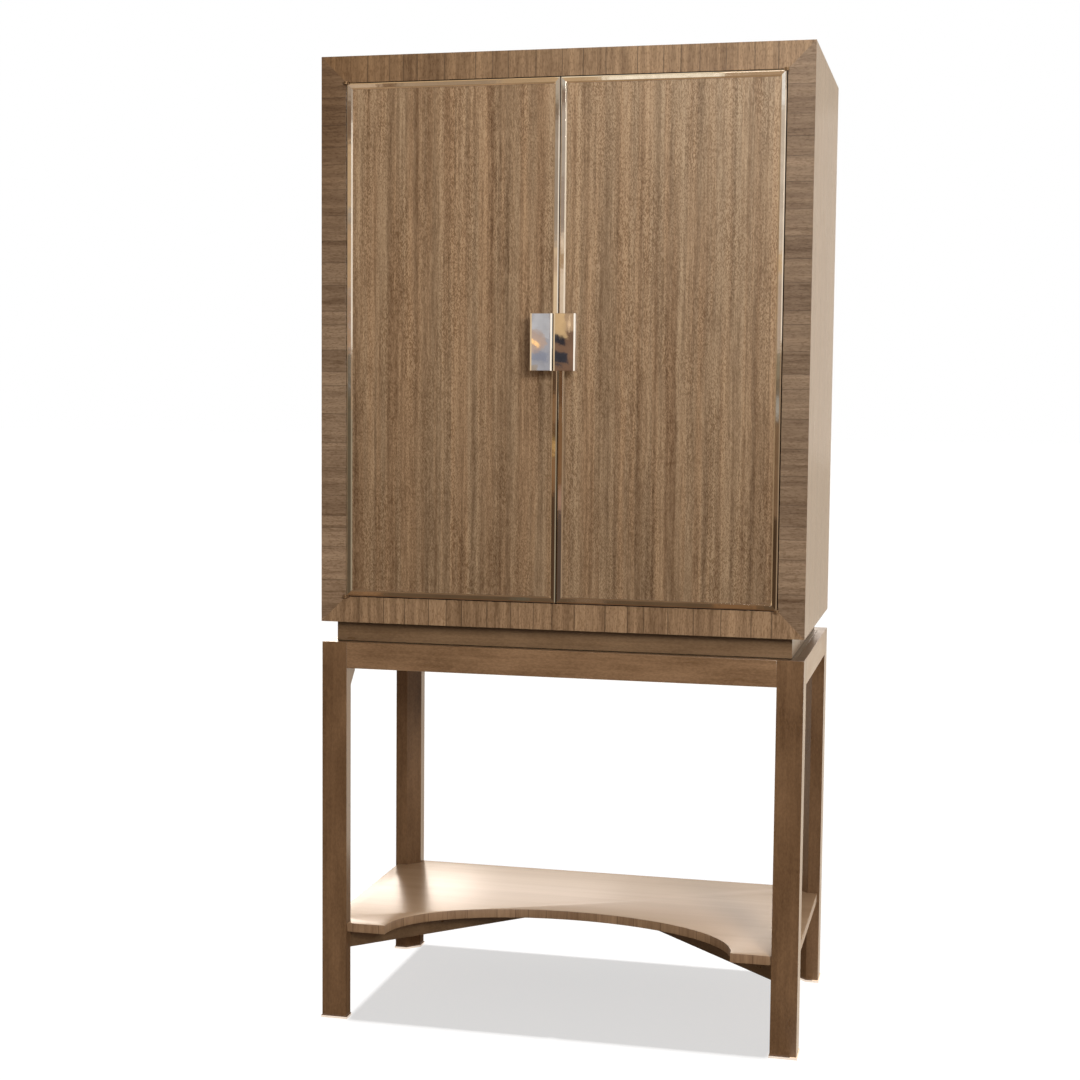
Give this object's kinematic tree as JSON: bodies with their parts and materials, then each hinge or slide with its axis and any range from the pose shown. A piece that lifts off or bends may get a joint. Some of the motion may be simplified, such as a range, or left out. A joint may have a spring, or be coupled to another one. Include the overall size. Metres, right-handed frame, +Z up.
{
  "type": "bar cabinet",
  "caption": "Tall two-door bar cabinet on an open four-legged stand with a lower shelf; behind the doors a fold-out serving shelf, stemware rack, glass shelf and bottle bays.",
  "frame": {"origin": "on the floor, at the middle of the width, midway between the faces of the pulls and the back of the back feet", "axes": "+Z up, +X to the right of a person facing the doors, +Y towards the back"},
  "size_m": [1.071, 0.658, 2.134],
  "materials": {
    "walnut_veneer": "satin lacquered brown veneer with straight grain",
    "crossband_veneer": "satin lacquered crossband veneer laid in short strips",
    "shelf_veneer": "satin lacquered brown veneer",
    "plinth_stain": "satin lacquered brown stain",
    "carcass_wood": "planed hardwood, oiled",
    "interior_veneer": "satin lacquered brown veneer",
    "polished_trim": "polished warm metal",
    "polished_pull": "mirror polished warm metal",
    "foot_brass": "polished pale brass",
    "hardware_steel": "brushed steel",
    "catch_housing": "moulded, matt brown",
    "shelf_glass": "clear with polished edges",
    "silvered_mirror": "silvered plain mirror"
  },
  "bodies": {
    "carcass": {"front_left_leg": "walnut_veneer", "front_right_leg": "walnut_veneer", "back_left_leg": "walnut_veneer", "back_right_leg": "walnut_veneer", "ferrules": "foot_brass", "base_front_rail": "walnut_veneer", "base_back_rail": "walnut_veneer", "base_side_rails": "walnut_veneer", "base_deck": "walnut_veneer", "lower_shelf": "shelf_veneer", "shelf_front_bearers": "carcass_wood", "shelf_back_bearer": "carcass_wood", "plinth_boards": "plinth_stain", "plinth_blocks": "carcass_wood", "case_bolts": "hardware_steel", "case_left_side": "walnut_veneer", "case_right_side": "walnut_veneer", "case_top": "walnut_veneer", "case_bottom": "walnut_veneer", "case_back": "walnut_veneer", "frame_stiles": "crossband_veneer", "frame_top_rail": "crossband_veneer", "frame_bottom_rail": "crossband_veneer", "gables": "interior_veneer", "case_floor": "interior_veneer", "case_ceiling": "interior_veneer", "battens": "carcass_wood", "door_pivot_plates": "hardware_steel", "door_catches": "catch_housing", "counter": "interior_veneer", "counter_hinge_flaps": "hardware_steel", "leaf_hinge_pins": "hardware_steel", "loper_guides": "carcass_wood", "upper_shelf": "interior_veneer", "stemware_rails": "interior_veneer", "glass_shelf": "shelf_glass", "shelf_pins": "hardware_steel", "mirror_back": "silvered_mirror", "bottle_dividers": "interior_veneer"},
    "left_door": {"left_door_panel": "walnut_veneer", "left_door_trim": "polished_trim", "left_door_pivots": "hardware_steel", "left_door_strike": "hardware_steel", "left_pull": "polished_pull", "left_pull_screws": "hardware_steel"},
    "left_leaf": {"left_leaf": "interior_veneer", "left_leaf_hinge": "hardware_steel"},
    "left_loper": {"left_loper": "carcass_wood", "left_loper_knob": "hardware_steel"},
    "right_door": {"right_door_panel": "walnut_veneer", "right_door_trim": "polished_trim", "right_door_pivots": "hardware_steel", "right_door_strike": "hardware_steel", "right_pull": "polished_pull", "right_pull_screws": "hardware_steel"},
    "right_leaf": {"right_leaf": "interior_veneer", "right_leaf_hinge": "hardware_steel"},
    "right_loper": {"right_loper": "carcass_wood", "right_loper_knob": "hardware_steel"}
  },
  "joints": [
    {"name": "left_door_hinge", "type": "hinge", "parent": "carcass", "child": "left_door", "pos_m": [-0.4755, -0.28, 1.518], "axis": [0, 0, -1], "range_deg": [0, 120]},
    {"name": "left_leaf_fold", "type": "hinge", "parent": "carcass", "child": "left_leaf", "pos_m": [-0.2085, -0.243, 1.15], "axis": [1, 0, 0], "range_deg": [0, 180]},
    {"name": "left_loper_slide", "type": "slide", "parent": "carcass", "child": "left_loper", "axis": [0, -1, 0], "range_m": [0, 0.25]},
    {"name": "right_door_hinge", "type": "hinge", "parent": "carcass", "child": "right_door", "pos_m": [0.4755, -0.28, 1.518], "axis": [0, 0, 1], "range_deg": [0, 120]},
    {"name": "right_leaf_fold", "type": "hinge", "parent": "carcass", "child": "right_leaf", "pos_m": [0.2085, -0.243, 1.15], "axis": [1, 0, 0], "range_deg": [0, 180]},
    {"name": "right_loper_slide", "type": "slide", "parent": "carcass", "child": "right_loper", "axis": [0, -1, 0], "range_m": [0, 0.25]}
  ],
  "couplings": [
    {"joint": "left_leaf_fold", "follows": "left_door_hinge", "ratio": 1.5},
    {"joint": "left_loper_slide", "follows": "left_door_hinge", "m_per_rad": 0.11936},
    {"joint": "right_leaf_fold", "follows": "right_door_hinge", "ratio": 1.5},
    {"joint": "right_loper_slide", "follows": "right_door_hinge", "m_per_rad": 0.11936}
  ]
}
